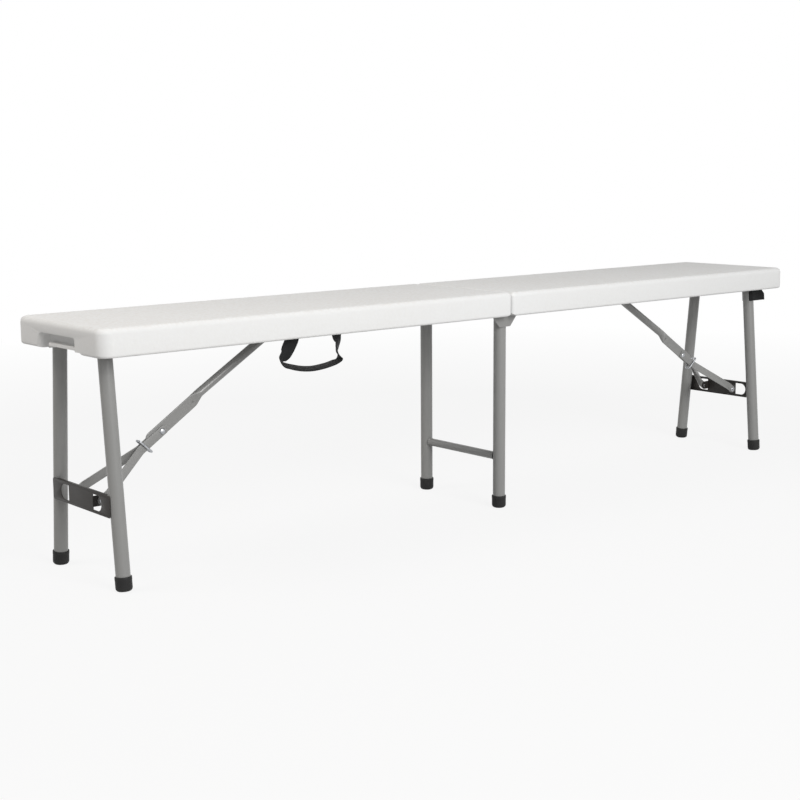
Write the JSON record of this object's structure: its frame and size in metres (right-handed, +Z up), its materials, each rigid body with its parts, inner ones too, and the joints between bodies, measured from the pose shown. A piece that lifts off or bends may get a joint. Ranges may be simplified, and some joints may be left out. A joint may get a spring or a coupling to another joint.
{
  "type": "folding bench",
  "caption": "Long folding bench: two moulded plastic seat halves on a centre leg frame, with folding tube end legs, jointed braces, a webbing carry strap and a clip that holds the legs shut.",
  "frame": {"origin": "on the floor under the middle of the seat", "axes": "+X along the bench, -Y towards the side with the carry strap, +Z up"},
  "size_m": [1.83, 0.295, 0.443],
  "materials": {
    "seat_plastic": "white blow-moulded polyethylene with a fine pebble grain",
    "grey_paint": "satin grey powder coat on steel tube and sheet",
    "bright_steel": "bright zinc plating",
    "black_plastic": "black moulded plastic",
    "black_webbing": "black woven polypropylene webbing"
  },
  "bodies": {
    "centre_frame": {"centre_rung": "grey_paint", "centre_leg_front": "grey_paint", "centre_foot_cap_front": "black_plastic", "hinge_plate_front": "grey_paint", "centre_leg_back": "grey_paint", "centre_foot_cap_back": "black_plastic", "hinge_plate_back": "grey_paint"},
    "left_half": {"left_seat": "seat_plastic", "left_hinge_rod": "bright_steel", "left_brace_bracket": "grey_paint", "left_brace_pin": "bright_steel", "left_leg_saddle_front": "black_plastic", "left_leg_saddle_back": "black_plastic", "carry_strap": "black_webbing", "carry_strap_rivet_outer": "bright_steel", "carry_strap_rivet_inner": "bright_steel"},
    "left_leg_frame": {"left_leg_pivot_tube": "grey_paint", "left_crossbar": "grey_paint", "left_leg_front": "grey_paint", "left_foot_cap_front": "black_plastic", "left_ear_rivet_front": "bright_steel", "left_leg_back": "grey_paint", "left_foot_cap_back": "black_plastic", "left_ear_rivet_back": "bright_steel"},
    "left_upper_brace": {"left_upper_brace": "grey_paint"},
    "left_brace_straps": {"left_brace_strap_front": "grey_paint", "left_elbow_rivet_front": "bright_steel", "left_brace_strap_back": "grey_paint", "left_elbow_rivet_back": "bright_steel"},
    "left_lock_ring": {"left_lock_ring_front": "bright_steel", "left_lock_ring_back": "bright_steel"},
    "right_half": {"right_seat": "seat_plastic", "right_hinge_rod": "bright_steel", "right_brace_bracket": "grey_paint", "right_brace_pin": "bright_steel", "right_leg_saddle_front": "black_plastic", "right_leg_saddle_back": "black_plastic"},
    "right_leg_frame": {"right_leg_pivot_tube": "grey_paint", "right_crossbar": "grey_paint", "right_leg_front": "grey_paint", "right_foot_cap_front": "black_plastic", "right_ear_rivet_front": "bright_steel", "right_leg_back": "grey_paint", "right_foot_cap_back": "black_plastic", "right_ear_rivet_back": "bright_steel", "fold_clip": "black_plastic"},
    "right_upper_brace": {"right_upper_brace": "grey_paint"},
    "right_brace_straps": {"right_brace_strap_front": "grey_paint", "right_elbow_rivet_front": "bright_steel", "right_brace_strap_back": "grey_paint", "right_elbow_rivet_back": "bright_steel"},
    "right_lock_ring": {"right_lock_ring_front": "bright_steel", "right_lock_ring_back": "bright_steel"}
  },
  "joints": [
    {"name": "left_half_fold", "type": "hinge", "parent": "centre_frame", "child": "left_half", "pos_m": [-0.012, 0, 0.4055], "axis": [0, -1, 0], "range_deg": [0, 90], "deforming": ["carry_strap"]},
    {"name": "left_leg_fold", "type": "hinge", "parent": "left_half", "child": "left_leg_frame", "pos_m": [-0.87, 0, 0.41], "axis": [0, -1, 0], "range_deg": [0, 90.01]},
    {"name": "left_brace_fold", "type": "hinge", "parent": "left_half", "child": "left_upper_brace", "pos_m": [-0.45, 0, 0.4125], "axis": [0, -1, 0], "range_deg": [-33.04, 0]},
    {"name": "left_strap_fold", "type": "hinge", "parent": "left_leg_frame", "child": "left_brace_straps", "pos_m": [-0.8673, 0, 0.142], "axis": [0, -1, 0], "range_deg": [0, 56.98]},
    {"name": "left_ring_slide", "type": "slide", "parent": "left_brace_straps", "child": "left_lock_ring", "axis": [0.8391, 0, 0.5439], "range_m": [0, 0.018]},
    {"name": "right_half_fold", "type": "hinge", "parent": "centre_frame", "child": "right_half", "pos_m": [0.012, 0, 0.4055], "axis": [0, 1, 0], "range_deg": [0, 90]},
    {"name": "right_leg_fold", "type": "hinge", "parent": "right_half", "child": "right_leg_frame", "pos_m": [0.87, 0, 0.41], "axis": [0, 1, 0], "range_deg": [0, 90.01]},
    {"name": "right_brace_fold", "type": "hinge", "parent": "right_half", "child": "right_upper_brace", "pos_m": [0.45, 0, 0.4125], "axis": [0, 1, 0], "range_deg": [-33.04, 0]},
    {"name": "right_strap_fold", "type": "hinge", "parent": "right_leg_frame", "child": "right_brace_straps", "pos_m": [0.8673, 0, 0.142], "axis": [0, 1, 0], "range_deg": [0, 56.98]},
    {"name": "right_ring_slide", "type": "slide", "parent": "right_brace_straps", "child": "right_lock_ring", "axis": [-0.8391, 0, 0.5439], "range_m": [0, 0.018]}
  ],
  "couplings": [
    {"joint": "left_leg_fold", "follows": "left_half_fold", "ratio": 1},
    {"joint": "left_brace_fold", "follows": "left_half_fold", "ratio": -0.36697},
    {"joint": "left_strap_fold", "follows": "left_half_fold", "ratio": 0.63303},
    {"joint": "right_leg_fold", "follows": "right_half_fold", "ratio": 1},
    {"joint": "right_brace_fold", "follows": "right_half_fold", "ratio": -0.36697},
    {"joint": "right_strap_fold", "follows": "right_half_fold", "ratio": 0.63303}
  ]
}
